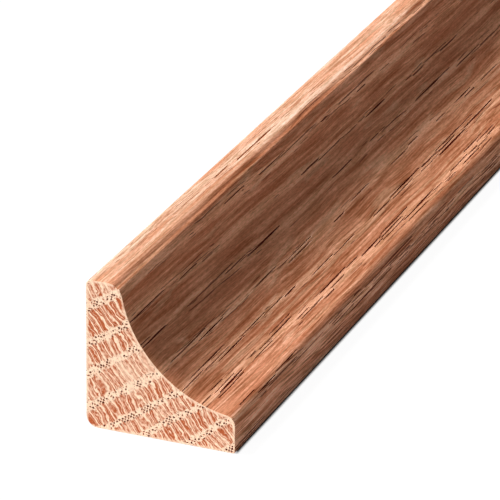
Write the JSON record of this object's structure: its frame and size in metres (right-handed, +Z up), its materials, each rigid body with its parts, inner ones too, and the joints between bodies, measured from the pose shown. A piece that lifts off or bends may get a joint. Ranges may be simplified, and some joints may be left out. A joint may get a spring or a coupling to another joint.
{
  "type": "cove moulding",
  "caption": "Straight hardwood trim stick of square stock with a concave hollow along one corner, fitted into an inside corner to cover the joint between two surfaces.",
  "frame": {"origin": "middle of the bottom face's box, half way along the stick", "axes": "+X along the stick's length, +Y out of the back face, +Z up; the hollow faces -Y and +Z"},
  "size_m": [0.9144, 0.019, 0.0191],
  "materials": {
    "red_oak": "bare, machine moulded and sawn at the ends"
  },
  "bodies": {
    "root": {"cove_moulding": "red_oak"}
  },
  "joints": []
}
